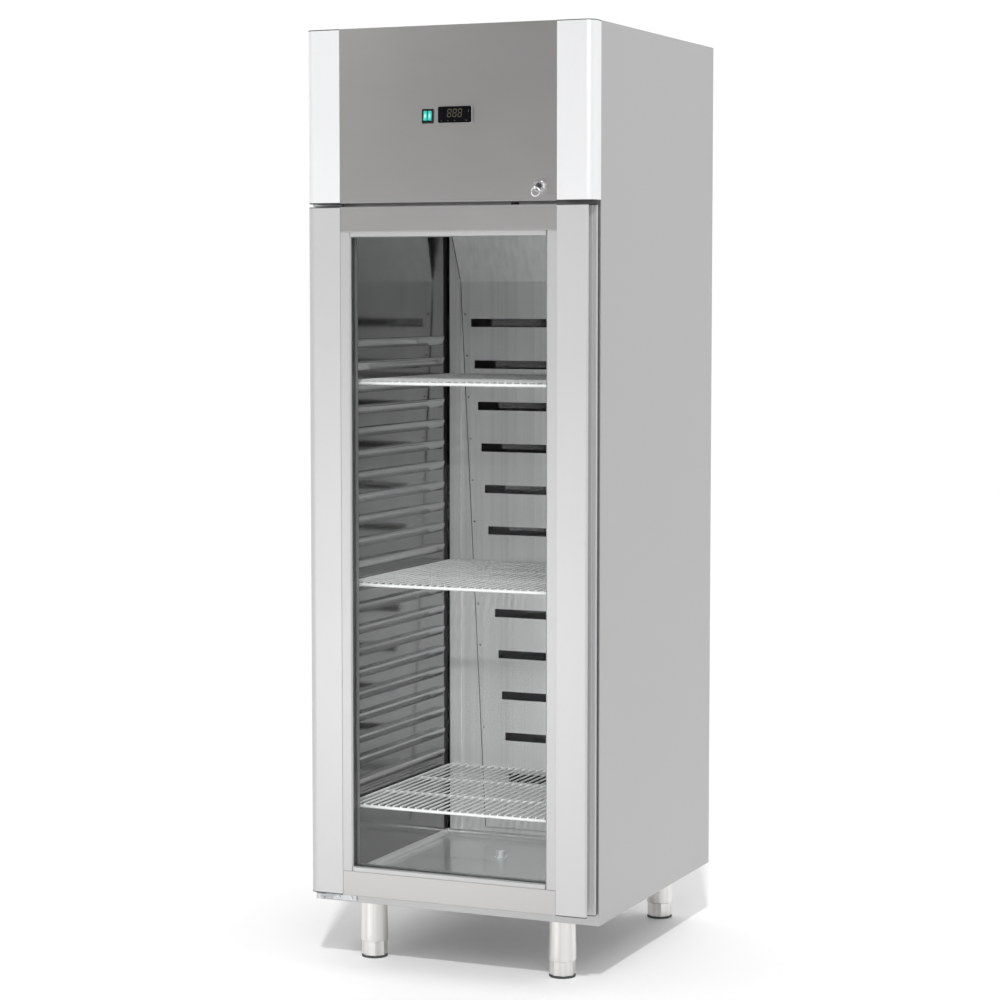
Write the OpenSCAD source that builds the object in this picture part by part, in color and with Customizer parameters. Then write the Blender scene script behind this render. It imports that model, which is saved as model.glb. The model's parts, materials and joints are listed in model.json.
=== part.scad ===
// Upright proofing cabinet with one glazed door.
// X is the width, Y the depth (the door faces -Y) and Z the height.
// The origin is on the floor, under the middle of the cabinet's outer box.

/* [Cabinet body] */
// Height of the whole cabinet above the floor
overall_h = 2010; // [1960:5:2060]
// Width over the side panels
body_w = 660; // [640:2:700]
// Depth from the door's front face to the back panel
body_d = 740; // [720:2:800]
// Thickness of an insulated side wall
wall_t = 47; // [44:1:50]
// Thickness of the outer steel sheets
sheet_t = 1.2; // [1:0.1:1.5]
// Height of the control head above the door
head_h = 367; // [350:1:380]

/* [Legs] */
// Free height under the body
leg_h = 130; // [110:1:150]
// Distance of the legs from the middle, across
leg_x = 223; // [210:1:230]
// Front legs, measured back from the door's face
leg_front_y = 102; // [95:1:120]
// Rear legs, measured forward from the back panel
leg_rear_gap = 38; // [36:1:60]
// Height of the adjustable foot under the sleeve
foot_h = 36; // [30:1:40]

/* [Door] */
// Thickness of the door frame
door_t = 36; // [34:1:38]
// Width of the upright aluminium profiles
stile_w = 81; // [78:1:84]
// Height of the steel rails above and below the glass
rail_h = 53.5; // [48:0.5:58]
// Outer corner radius of the aluminium profiles
corner_r = 20; // [16:1:20]
// Gap between the door and the control head
door_gap = 7; // [6.5:0.5:8]
// Depth of the finger recess in the grip profile
grip_depth = 24; // [20:1:28]

/* [Cabin] */
// Height of the cabin floor above the body's underside
floor_rise = 40; // [36:1:44]
// Distance between two tray guides
guide_pitch = 48.5; // [48:0.25:49]
// Number of tray guides on each side
guide_count = 22; // [18:1:22]
// Ledge of the lowest tray guide above the cabin floor
first_guide = 165; // [150:1:170]
// How far a tray guide stands out of the wall
guide_reach = 15; // [13:1:16]
// Distance from the false back to the door's face
false_back_y = 620; // [610:1:624]
// Guide numbers that carry a shelf, counted from the lowest
shelf_guides = [0, 10, 19];
// Distance between two shelf wires
wire_pitch = 17.6; // [16:0.1:20]

/* [Air duct] */
// Number of outlet slots in the duct panel
slot_count = 12; // [8:1:12]
// Distance between two outlet slots
slot_pitch = 97; // [90:1:97]
// Height of one outlet slot
slot_h = 19.5; // [15:0.5:20]
// Half the width of the duct panel at its lower end
duct_low_half = 183; // [180:1:190]
// Half the width of the duct panel at its bend
duct_high_half = 246; // [240:1:246]
// Forward lean of the duct panel above its bend, in degrees
duct_lean = 20; // [15:1:22]

/* [Controls] */
// Middle of the controller, to the right of the middle line
controller_x = 21.5; // [15:0.5:60]
// Middle of the twin switch, to the left of the middle line
switch_x = -42; // [-80:1:-40]
// Height of the controls above the head's lower edge
controls_rise = 179; // [150:1:200]
// Middle of the lock, to the right of the middle line
lock_x = 212; // [200:1:214]
// Height of the lock above the head's lower edge
lock_rise = 30; // [28:1:32]

/* [Hidden] */
$fn = 48;

half_w = body_w / 2;
face_y = door_t + 6;                 // front face of the body, behind the door's seal
cabin_half = half_w - wall_t;        // inner half width of the cabin
return_w = 30;                       // front return of a side panel
floor_z = leg_h + floor_rise;
head_z = overall_h - head_h;         // lower edge of the control head
door_top = head_z - door_gap;
door_low = leg_h + 24;
deck_z = head_z + 7;                 // floor of the service compartment
ceiling_z = head_z - 43;
liner_t = 1;
cove_r = 14;                         // rounding between the cabin floor and its walls
liner_back_y = body_d - 60;
opening_low = floor_z + 8;           // lower edge of the door opening
opening_top = ceiling_z - 10;

stile_in = half_w - stile_w;         // inner edge of the upright profiles
bead_w = 24;                         // width of the upright glazing beads
bead_h = 11;                         // height of the level glazing beads
bead_low = door_low + rail_h;
bead_top = door_top - rail_h;
glass_half = stile_in - bead_w;      // visible half width of the glass
cap_t = 2;                           // plastic end caps of the profiles
profile_t = 2;

pivot = [-half_w + 20, 16];          // axis of the door hinge
pivot_r = 4;
bracket_screws_x = [-279, -249];
bracket_screws_z = leg_h + 8.5;
bore_gap = 0.05;                     // running clearance of pins and shafts

panel_half = stile_in - 0.5;         // service panel between the head profiles
panel_t = 1.5;
panel_pivot = [8, overall_h - 8];    // hinge of the service panel, as y and z
panel_pivot_r = 2.5;
controls_z = head_z + controls_rise;
controller_z = controls_z + 2;
controller_face = [38, 17];          // half width and half height of the controller's front
controller_body = [35.3, 14.3];      // half width and half height of its body behind the panel
switch_face = [13, 15];              // half width and half height of the twin switch's frame
rocker_x = 5.1;                      // distance of each rocker from the middle of its switch
rocker_axle_y = 4;
lock_z = head_z + lock_rise;
key_reach = 30;                      // how far the key stands out of the door's face
rear_reach = 16;                     // how far the gland stands out behind
depth_mid = (body_d + rear_reach - key_reach) / 2;

drain = [-58, 418];
slot_top_z = floor_z + 1214;         // uppermost outlet slot
duct_low_z = floor_z + 27;
duct_front_y = false_back_y - 3.4;
bend_z = floor_z + 1310;             // bend of the duct panel
fan_c = [0, 555];                    // axis of the circulation fan
fan_hole_r = 80;                     // opening under the fan
supply_half = 148;                   // half width of the opening down to the duct
air_box_front = fan_c[1] - 105;
air_box_top = deck_z + 130;
rear_leg_y = body_d - leg_rear_gap;
stem_r = 12;                         // threaded stem of an adjustable foot
leg_places = [[-leg_x, leg_front_y], [leg_x, leg_front_y], [-leg_x, rear_leg_y], [leg_x, rear_leg_y]];
steam_x = -140;                      // steam pipe between the tank and the air box
steam_z = deck_z + 80;               // height at which it enters the air box
steam_r = 14;
inlet_hole_r = 14.2;                 // clearance hole of the steam pipe and of the water inlet
gland_hole_r = 8.1;
gland = [200, head_z + 60];          // cable gland on the back, as x and z
water = [-200, head_z + 60];         // water inlet on the back, as x and z
contact_x = 139;                     // magnet contact above the door
plate_t = 3;                         // mounting plate of a leg
screw_r = 3.6;
screw_h = 2.2;
edge_screw_x = half_w - 26;          // screws down both edges of the back
edge_screw_z = [leg_h + 40 : 300 : deck_z - 40];
edge_screw_hole_r = 2;

steel = [0.74, 0.74, 0.73];
bright = [0.93, 0.94, 0.95];
dark = [0.16, 0.17, 0.17];
white = [0.88, 0.90, 0.92];
black = [0.03, 0.03, 0.03];

// ---------- helpers: y is measured back from the door's front face ----------

// Moves a shape from the door's face to the cabinet's own origin
module place() { translate([0, -depth_mid, 0]) children(); }

// A block between two x, two y and two z values
module slab(x, y, z) {
    translate([x[0], y[0], z[0]]) cube([x[1] - x[0], y[1] - y[0], z[1] - z[0]]);
}

// Extrudes an outline drawn in y and z along X
module along_x(x) { translate([x[0], 0, 0]) rotate([90, 0, 90]) linear_extrude(x[1] - x[0]) children(); }

// Extrudes an outline drawn in x and z along Y
module along_y(y) { translate([0, y[1], 0]) rotate([90, 0, 0]) linear_extrude(y[1] - y[0]) children(); }

// Extrudes an outline drawn in x and y along Z
module along_z(z) { translate([0, 0, z[0]]) linear_extrude(z[1] - z[0]) children(); }

module rod_x(x, y, z, r) { translate([x[0], y, z]) rotate([0, 90, 0]) cylinder(h = x[1] - x[0], r = r); }
module rod_y(x, y, z, r) { translate([x, y[1], z]) rotate([90, 0, 0]) cylinder(h = y[1] - y[0], r = r); }
module rod_z(x, y, z, r) { translate([x, y, z[0]]) cylinder(h = z[1] - z[0], r = r); }

// Both sides of the cabinet
module both_sides() { children(); mirror([1, 0, 0]) children(); }

// A flat rectangle with round corners
module round_rect(x, y, r) {
    translate([x[0] + r, y[0]]) square([x[1] - x[0] - 2 * r, y[1] - y[0]]);
    translate([x[0], y[0] + r]) square([x[1] - x[0], y[1] - y[0] - 2 * r]);
    for (cx = [x[0] + r, x[1] - r], cy = [y[0] + r, y[1] - r]) translate([cx, cy]) circle(r);
}

// A block about a middle in x and z, with its half sizes, between two y values
module centred_slab(x, z, half, y) {
    slab([x - half[0], x + half[0]], y, [z - half[1], z + half[1]]);
}

// A plate with round corners about a middle in x and z, with its half sizes, between two y values
module centred_plate(x, z, half, r, y) {
    along_y(y) round_rect([x - half[0], x + half[0]], [z - half[1], z + half[1]], r);
}

// A pan-head screw whose head stands out along +Z, with a cross recess
module pan_screw(r, h, shank = 0) {
    difference() {
        cylinder(h = h, r = r);
        for (a = [0, 90]) rotate(a) translate([-r * 0.6, -0.5, h - 1.1]) cube([r * 1.2, 1, 2]);
    }
    if (shank > 0) translate([0, 0, -shank]) cylinder(h = shank + 0.1, r = r * 0.5);
}

// ---------- outer shell ----------

// Left outer side sheet: a flat side with a return at the front and at the back
module side_sheet() {
    along_z([leg_h, overall_h]) {
        translate([-half_w, face_y]) square([sheet_t, body_d - face_y]);
        translate([-half_w, face_y]) square([return_w, sheet_t]);
        translate([-half_w, body_d - sheet_t]) square([18, sheet_t]);
    }
}

module side_panel_left() { color(steel) place() side_sheet(); }

module side_panel_right() { color(steel) place() mirror([1, 0, 0]) side_sheet(); }

module back_panel() {
    color(steel) place() difference() {
        slab([-half_w + 18.2, half_w - 18.2], [body_d - sheet_t, body_d], [leg_h, deck_z]);
        for (s = [-1, 1], z = edge_screw_z)
            rod_y(s * edge_screw_x, [body_d - 5, body_d + 1], z, edge_screw_hole_r);
    }
}

// Louvred cover behind the service compartment
module rear_grille() {
    low = deck_z + 2;
    high = overall_h - 3;
    color(steel) place() difference() {
        slab([-half_w + 18.2, half_w - 18.2], [body_d - sheet_t, body_d], [low, high]);
        for (col = [-1, 1], row = [0 : 9])
            along_y([body_d - 5, body_d + 1])
                round_rect([col * 125 - 95, col * 125 + 95],
                           [low + 140 + row * 18, low + 147 + row * 18], 3.4);
        rod_y(gland[0], [body_d - 5, body_d + 1], gland[1], gland_hole_r);
        rod_y(water[0], [body_d - 5, body_d + 1], water[1], inlet_hole_r);
    }
}

module roof_panel() {
    inner = half_w - sheet_t;
    color(steel) place() {
        slab([-inner, inner], [face_y + sheet_t, body_d - sheet_t], [overall_h - sheet_t, overall_h]);
        slab([-inner, inner], [face_y + sheet_t, face_y + 2 * sheet_t], [overall_h - 20, overall_h - 1]);
    }
}

module base_panel() {
    inner = half_w - sheet_t;
    color(steel) place() difference() {
        slab([-inner, inner], [face_y + sheet_t, body_d - sheet_t], [leg_h, leg_h + sheet_t]);
        rod_z(drain[0], drain[1], [leg_h - 1, leg_h + 5], 12);
    }
}

// Sill under the door and bar above it, both folded channels
module front_rails() {
    span = [-half_w + return_w, half_w - return_w];
    inside = [-cabin_half + 0.2, cabin_half - 0.2];
    lip = [face_y, face_y + 18];
    rail_top = deck_z + 25;
    color(steel) place() {
        slab(span, [face_y, face_y + sheet_t], [leg_h, opening_low]);
        slab(inside, lip, [opening_low - sheet_t, opening_low]);
        slab(span, [face_y, face_y + sheet_t], [opening_top, rail_top]);
        slab(inside, lip, [opening_top, opening_top + sheet_t]);
        slab(span, lip, [rail_top - sheet_t, rail_top]);
    }
}

// Foam between the outer shell and the liner
module foam_insulation() {
    outer = half_w - sheet_t;
    hole = cabin_half + liner_t;
    color([0.9, 0.85, 0.6]) place() difference() {
        slab([-outer, outer], [face_y + sheet_t + 0.2, body_d - sheet_t - 0.2],
             [leg_h + sheet_t + 0.2, deck_z - 0.2]);
        slab([-hole - 0.2, hole + 0.2], [face_y - 1, liner_back_y + liner_t + 0.2],
             [floor_z - liner_t - 0.2, ceiling_z + liner_t + 0.2]);
        slab([-half_w + return_w - 0.2, half_w - return_w + 0.2], [face_y, face_y + 18.5],
             [leg_h, deck_z]);
        rod_z(fan_c[0], fan_c[1], [ceiling_z, deck_z + 1], fan_hole_r);
        slab([-supply_half - 2, supply_half + 2], [false_back_y + 8, liner_back_y - 2],
             [ceiling_z, deck_z + 1]);
        rod_z(drain[0], drain[1], [leg_h, floor_z], 12.2);
        slab([contact_x - 10, contact_x + 10], [face_y, face_y + 31], [opening_top, deck_z]);
    }
}

// ---------- cabin ----------

// Side walls with a front flange, and the back wall
module liner_walls() {
    z = [floor_z, ceiling_z];
    behind_rails = face_y + sheet_t + 0.1;
    color(steel) place() {
        both_sides() {
            slab([-cabin_half - liner_t, -cabin_half], [behind_rails, liner_back_y], z);
            slab([-half_w + return_w + 0.2, -cabin_half], [face_y, face_y + liner_t],
                 [opening_low, opening_top]);
            slab([-cabin_half - liner_t, -cabin_half], [face_y, behind_rails + 1],
                 [opening_low, opening_top]);
        }
        slab([-cabin_half + 0.2, cabin_half - 0.2], [liner_back_y, liner_back_y + liner_t], z);
    }
}

// Ceiling with the return-air slots under the fan and the supply opening behind the false back
module liner_ceiling() {
    color(steel) place() difference() {
        slab([-cabin_half, cabin_half], [face_y + 19, liner_back_y],
             [ceiling_z, ceiling_z + liner_t]);
        for (i = [-5 : 5])
            along_z([ceiling_z - 1, ceiling_z + 5])
                round_rect([i * 12 - 3, i * 12 + 3],
                           [fan_c[1] - 70 + abs(i) * 4, fan_c[1] + 60 - abs(i) * 4], 2.9);
        slab([-supply_half, supply_half], [false_back_y + 10, liner_back_y - 4],
             [ceiling_z - 1, ceiling_z + 5]);
    }
}

// What fills a coved corner, with the corner itself at the origin
module cove_outline() {
    difference() {
        translate([0, -0.5]) square([cove_r, cove_r + 0.5]);
        translate([cove_r, cove_r]) circle(cove_r - 0.6);
    }
}

// Watertight floor tray with a drain hole, coved along both walls and under the false back
module liner_floor() {
    y = [face_y + 19, liner_back_y];
    in = cabin_half - 0.2;
    color(steel) place() difference() {
        union() {
            slab([-in, in], y, [floor_z - liner_t, floor_z]);
            both_sides() along_y([y[0], false_back_y]) translate([-in, floor_z]) cove_outline();
            along_x([-in, in]) translate([false_back_y, floor_z]) mirror([1, 0]) cove_outline();
        }
        rod_z(drain[0], drain[1], [floor_z - 5, floor_z + 1], 10);
    }
}

function guide_z(i) = floor_z + first_guide + i * guide_pitch;

// One pressed tray guide on the left wall: a level ledge over a slope, with mitred ends
module tray_guide(z) {
    y = [face_y + 28, false_back_y - 34];
    drop = 21;
    wall = -cabin_half;
    intersection() {
        along_y(y) polygon([
            [wall, z], [wall + guide_reach - 2, z], [wall + guide_reach, z - 2],
            [wall + guide_reach, z - 4], [wall + 2, z - drop], [wall, z - drop]
        ]);
        along_z([z - drop - 1, z + 1]) polygon([
            [wall, y[0]], [wall + guide_reach, y[0] + guide_reach],
            [wall + guide_reach, y[1] - guide_reach], [wall, y[1]]
        ]);
    }
}

module tray_guides() {
    color(steel) place() both_sides() for (i = [0 : guide_count - 1]) tray_guide(guide_z(i));
}

// Flat panel in front of the back wall, with a raised post at each side and a slot behind each outlet
module false_back() {
    low = floor_z + cove_r + 0.2;
    post_w = 28;
    roll_r = 2.2;
    edge = cabin_half - 8;
    color(steel) place() difference() {
        union() {
            slab([-edge + post_w, edge - post_w], [false_back_y, false_back_y + liner_t],
                 [low, ceiling_z - 1]);
            both_sides() along_z([low, ceiling_z - 1]) {
                translate([-edge, false_back_y - 5]) square([post_w, 1]);
                translate([-edge, false_back_y - 5]) square([1, 20]);
                translate([-edge + roll_r, false_back_y - 5 + roll_r]) circle(roll_r);
                translate([-edge + post_w - 1, false_back_y - 5]) square([1, 6]);
            }
        }
        outlet_slots(3, [false_back_y - 2, false_back_y + 3]);
    }
}

// The level outlet slots, widened by a margin; they get shorter downwards
module outlet_slots(margin, y) {
    for (i = [0 : slot_count - 1]) {
        drop = i * slot_pitch;
        half = 221 - 0.09 * drop + margin;
        centre_z = slot_top_z - drop;
        half_h = slot_h / 2 + margin;
        slab([-half, half], y, [centre_z - half_h, centre_z + half_h]);
    }
}

// Tapered panel with the outlet slots; its top leans forward to the ceiling
module duct_panel() {
    low = duct_low_z;
    front = duct_front_y;
    rise = ceiling_z - 1 - bend_z;
    color(steel) place() difference() {
        intersection() {
            along_x([-cabin_half, cabin_half]) polygon([
                [front, low], [front + 2.4, low], [front + 2.4, bend_z],
                [front + 2.4 - rise * tan(duct_lean), bend_z + rise],
                [front - rise * tan(duct_lean), bend_z + rise], [front, bend_z]
            ]);
            along_y([front - 100, front + 10]) polygon([
                [-duct_low_half, low], [duct_low_half, low],
                [duct_high_half + 6, bend_z + rise], [-duct_high_half - 6, bend_z + rise]
            ]);
        }
        outlet_slots(0, [front - 2, front + 5]);
    }
}

// Light strip under the ceiling, behind the door frame
module lamp() {
    color(white) place() along_x([-170, 170]) {
        translate([face_y + 30, ceiling_z - 10]) square([26, 10]);
        translate([face_y + 43, ceiling_z - 8]) circle(6);
    }
}

// ---------- control head ----------

// What a round corner of radius r takes off a square corner at the origin
module corner_cut(r) {
    difference() {
        translate([-1, -1]) square(r + 1);
        translate([r, r]) circle(r);
    }
}

// Outline of an upright profile, outer corner at the left front
module profile_outline(w, d, r_front, r_rear) {
    difference() {
        square([w, d]);
        corner_cut(r_front);
        if (r_rear > 0) translate([0, d]) mirror([0, 1]) corner_cut(r_rear);
    }
}

// Hollow aluminium profile
module hollow_profile(w, d, r_front, r_rear) {
    t = profile_t;
    difference() {
        profile_outline(w, d, r_front, r_rear);
        translate([t, t])
            profile_outline(w - 2 * t, d - 2 * t, r_front - t, max(r_rear - t, 0));
    }
}

module head_profiles() {
    color(bright) place() both_sides()
        translate([-half_w, 0, 0]) along_z([head_z + cap_t, overall_h - cap_t])
            hollow_profile(stile_w, face_y, corner_r, 0);
}

module head_end_caps() {
    color(dark) place() both_sides() for (z = [head_z, overall_h - cap_t])
        translate([-half_w, 0, 0]) along_z([z, z + cap_t])
            profile_outline(stile_w, face_y, corner_r, 0);
}

// Floor of the service compartment
module deck_panel() {
    inner = half_w - sheet_t;
    color(steel) place() difference() {
        slab([-inner, inner], [face_y + 20, body_d - sheet_t], [deck_z, deck_z + sheet_t]);
        rod_z(fan_c[0], fan_c[1], [deck_z - 1, deck_z + 5], fan_hole_r);
        slab([-supply_half, supply_half], [false_back_y + 10, liner_back_y - 4], [deck_z - 1, deck_z + 5]);
    }
}

// Housing of the fan and the heater, open at the bottom
module air_box() {
    x = 165;
    y = [air_box_front, liner_back_y + 10];
    top = air_box_top;
    color(steel) place() difference() {
        slab([-x, x], y, [deck_z + sheet_t, top]);
        slab([-x + 1, x - 1], [y[0] + 1, y[1] - 1], [deck_z, top - 1]);
        rod_z(fan_c[0], fan_c[1], [top - 5, top + 5], 12);
        rod_y(steam_x, [y[0] - 5, y[0] + 5], steam_z, inlet_hole_r);
    }
}

module fan_motor() {
    base = air_box_top;
    color([0.35, 0.37, 0.4]) place() {
        rod_z(fan_c[0], fan_c[1], [base, base + 4], 62);
        rod_z(fan_c[0], fan_c[1], [base + 3.9, base + 70], 46);
        for (i = [0 : 11]) translate([fan_c[0], fan_c[1], 0]) rotate(i * 30)
            slab([44, 51], [-1.5, 1.5], [base + 10, base + 62]);
        rod_z(fan_c[0], fan_c[1], [base + 69.9, base + 78], 20);
        rod_z(fan_c[0], fan_c[1], [deck_z + 30, base + 1], 5);
    }
}

// Radial wheel that draws air up from the cabin and drives it down the duct
module fan_wheel() {
    base = deck_z + 20;
    wheel_r = 88;
    color([0.55, 0.57, 0.6]) place() translate([fan_c[0], fan_c[1], 0]) difference() {
        union() {
            rod_z(0, 0, [base + 54, base + 56], wheel_r);
            rod_z(0, 0, [base + 10, base + 70], 12);
            for (i = [0 : 11]) rotate(i * 30) translate([62, 0, 0]) rotate(35)
                slab([-26, 26], [-0.8, 0.8], [base, base + 55]);
            difference() {
                rod_z(0, 0, [base - 2, base], wheel_r);
                rod_z(0, 0, [base - 3, base + 1], 62);
            }
        }
        rod_z(0, 0, [base, base + 80], 5 + bore_gap);
    }
}

// Sheathed heating rod bent into five level passes above the supply opening
module heater_element() {
    y = liner_back_y - 22;
    z0 = deck_z + 26;
    step = 20;
    r = 4.2;
    color([0.45, 0.38, 0.33]) place() {
        for (i = [0 : 4]) rod_x([-120, 120], y, z0 + i * step, r);
        for (i = [0 : 3]) {
            side = i % 2 == 0 ? 1 : -1;
            translate([side * 120, y, z0 + (i + 0.5) * step]) rotate([90, 0, 0])
                rotate(side > 0 ? -90 : 90) rotate_extrude(angle = 180) translate([step / 2, 0]) circle(r);
        }
        for (i = [0, 4]) rod_x([-156, -119], y, z0 + i * step, r + 1.5);
    }
}

// Water tank of the steam humidifier, with its lid and heater head
module humidifier_tank() {
    x = [-300, -110];
    y = [150, 350];
    z = [deck_z + sheet_t, deck_z + 190];
    color(white) place() {
        difference() {
            slab(x, y, z);
            slab([x[0] + 3, x[1] - 3], [y[0] + 3, y[1] - 3], [z[0] + 3, z[1] + 1]);
        }
        difference() {
            slab([x[0] - 2, x[1] + 2], [y[0] - 2, y[1] + 2], [z[1] + 0.2, z[1] + 6]);
            rod_z(steam_x, 310, [z[1] - 1, z[1] + 8], inlet_hole_r);
        }
        rod_z(-240, 220, [z[1] + 5.9, z[1] + 40], 22);
    }
}

// Pipe that carries steam from the tank's lid over and down into the air box
module steam_pipe() {
    x = steam_x;
    r = steam_r;
    top = deck_z + 220;
    y = [310, 400];
    color(bright) place() difference() {
        union() {
            rod_z(x, y[0], [deck_z + 184, top], r);
            rod_y(x, y, top, r);
            rod_z(x, y[1], [steam_z, top], r);
            rod_y(x, [y[1], air_box_front + 6], steam_z, r);
            for (p = [[y[0], top], [y[1], top], [y[1], steam_z]]) translate([x, p[0], p[1]]) sphere(r + 1.5);
        }
        rod_z(x, y[0], [deck_z + 180, top + r - 2], r - 2);
        rod_y(x, [y[0], y[1]], top, r - 2.1);
        rod_z(x, y[1], [steam_z, top], r - 2);
        rod_y(x, [y[1], air_box_front + 7], steam_z, r - 2.1);
    }
}

// Solenoid valve with the threaded water inlet through the back
module water_valve() {
    color([0.2, 0.25, 0.5]) place() {
        rod_y(water[0], [body_d - 40, body_d + 14], water[1], 13);
        rod_y(water[0], [body_d - 12, body_d - 1.4], water[1], 19);
        slab([water[0] - 16, water[0] + 16], [body_d - 72, body_d - 39], [water[1] - 16, water[1] + 16]);
        rod_z(water[0], body_d - 55, [water[1] + 15, water[1] + 48], 14);
    }
}

module electric_box() {
    x = [110, 300];
    y = [150, 430];
    z = [deck_z + sheet_t, deck_z + 120];
    color([0.7, 0.72, 0.74]) place() {
        difference() {
            slab(x, y, z);
            slab([x[0] + 2, x[1] - 2], [y[0] + 2, y[1] - 2], [z[0] + 2, z[1] + 1]);
        }
        slab([x[0] - 1, x[1] + 1], [y[0] - 1, y[1] + 1], [z[1] + 0.1, z[1] + 3]);
        for (i = [0 : 2]) slab([x[0] + 20 + i * 52, x[0] + 58 + i * 52], [190, 250], [z[0] + 2, z[0] + 50]);
    }
}

// Screwed gland with a straight bore for the supply cable
module cable_gland() {
    color(black) place() translate([gland[0], body_d, gland[1]]) rotate([-90, 0, 0]) difference() {
        union() {
            translate([0, 0, -16]) cylinder(h = 30, r = 8);
            translate([0, 0, 0.1]) cylinder(h = 5, r = 13, $fn = 6);
            translate([0, 0, 5]) cylinder(h = 11, r = 11, $fn = 6);
            translate([0, 0, -6.3]) cylinder(h = 5, r = 12.5, $fn = 6);
        }
        translate([0, 0, -17]) cylinder(h = 34, r = 5);
    }
}

// ---------- door hardware on the body ----------

module hinge_brackets() {
    px = pivot[0];
    py = pivot[1];
    color(steel) place() difference() {
        union() {
            // lower bracket: face plate, arm and boss
            slab([-292, -236], [face_y - 3, face_y - 0.01], [leg_h + 3, leg_h + 20]);
            along_z([leg_h + 14, leg_h + 20]) polygon([
                [px - 6, py + 7], [px + 8, py - 6], [-262, face_y - 3], [-262, face_y - 0.5],
                [px - 6, face_y - 0.5]
            ]);
            rod_z(px, py, [leg_h + 9, leg_h + 21], 10);
            // upper bracket: a thick arm from the bar above the door
            along_z([door_top + 1.5, head_z - 0.5]) polygon([
                [px - 8, py + 6], [px + 7, py - 7], [-262, face_y - 6], [-262, face_y - 0.01],
                [px - 8, face_y - 0.01]
            ]);
            rod_z(px, py, [door_top + 1.5, head_z - 0.5], 10);
        }
        rod_z(px, py, [leg_h, head_z], pivot_r);
        for (x = bracket_screws_x) rod_y(x, [face_y - 5, face_y + 1], bracket_screws_z, 2);
    }
}

// Pins of the door hinge, and pivots of the service panel
module hinge_pins() {
    color(bright) place() {
        rod_z(pivot[0], pivot[1], [leg_h + 9.1, door_low + 28], pivot_r);
        rod_z(pivot[0], pivot[1], [door_top - 28, head_z - 0.6], pivot_r);
        both_sides() rod_x([-stile_in, -stile_in + 6], panel_pivot[0], panel_pivot[1], panel_pivot_r);
    }
}

// Magnet contact that senses the closed door
module door_switch() {
    color(black) place() {
        slab([contact_x - 8, contact_x + 8], [face_y - 5, face_y - 0.01], [door_top + 1, head_z - 1]);
        slab([contact_x - 6, contact_x + 6], [face_y + sheet_t + 0.2, face_y + 30],
             [door_top - 20, head_z - 2]);
    }
}

module screws() {
    color(steel) place() {
        // rivets down both edges of the duct panel, one above each slot
        both_sides() for (i = [0 : slot_count - 1]) {
            z = slot_top_z - i * slot_pitch + 20;
            along = (z - duct_low_z) / (ceiling_z - 1 - duct_low_z);
            x = duct_low_half + (duct_high_half + 6 - duct_low_half) * along - 7;
            rod_y(-x, [duct_front_y - 1.2, duct_front_y], z, 2.6);
        }
        for (x = bracket_screws_x) translate([x, face_y - 3, bracket_screws_z])
            rotate([90, 0, 0]) pan_screw(screw_r, screw_h, 2.9);
        for (s = [-1, 1], z = edge_screw_z)
            translate([s * edge_screw_x, body_d, z]) rotate([-90, 0, 0]) pan_screw(screw_r, screw_h, 1.1);
        for (s = [-1, 1], z = [deck_z + 30, overall_h - 30])
            translate([s * edge_screw_x, body_d, z]) rotate([-90, 0, 0]) pan_screw(screw_r, screw_h);
        for (p = leg_places, a = [45 : 90 : 315])
            translate([p[0], p[1], leg_h - plate_t - 0.02]) rotate(a) translate([36, 0, 0])
                rotate([180, 0, 0]) pan_screw(screw_r, screw_h);
    }
}

// ---------- legs, feet and drain ----------

// Leg sleeve on its mounting plate, slightly wider towards its lower end
module leg_sleeves() {
    color(steel) place() for (p = leg_places) translate([p[0], p[1], 0]) difference() {
        union() {
            rotate_extrude() polygon([
                [0, foot_h], [29, foot_h], [30, foot_h + 1.2], [30, foot_h + 12], [28.5, foot_h + 60],
                [28.3, leg_h - plate_t], [0, leg_h - plate_t]
            ]);
            along_z([leg_h - plate_t - 0.01, leg_h - 0.01]) round_rect([-32, 32], [-32, 32], 6);
        }
        cylinder(h = leg_h - 12, r = stem_r + bore_gap);
        translate([0, 0, foot_h + 25]) cylinder(h = leg_h - foot_h - 35, r = 26);
    }
}

// Adjustable foot: an eight-sided collar on a round stem that screws into the sleeve
module foot(i) {
    color(steel) place() translate([leg_places[i][0], leg_places[i][1], 0]) rotate(22.5 + 5) {
        cylinder(h = 5, r = 27);
        translate([0, 0, 3]) cylinder(h = foot_h - 3.3, r = 28, $fn = 8);
        translate([0, 0, 20]) cylinder(h = leg_h - 50, r = stem_r);
    }
}

module foot_front_left() { foot(0); }

module foot_front_right() { foot(1); }

module foot_rear_left() { foot(2); }

module foot_rear_right() { foot(3); }

module drain_pipe() {
    color(white) place() translate([drain[0], drain[1], 0]) difference() {
        union() {
            rod_z(0, 0, [leg_h - 26, floor_z - 0.2], 9.8);
            rod_z(0, 0, [leg_h - 6, leg_h - 0.2], 15);
        }
        rod_z(0, 0, [leg_h - 27, floor_z], 8);
    }
}

// Stopper in the cabin floor
module drain_plug() {
    color(white) place() translate([drain[0], drain[1], floor_z]) {
        rod_z(0, 0, [-22, 1], 8 - bore_gap);
        rod_z(0, 0, [0.3, 2.4], 15);
        rod_z(0, 0, [2.3, 5], 11);
        rod_z(0, 0, [4.9, 17], 9.5);
    }
}

// ---------- service panel and controls ----------

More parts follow.
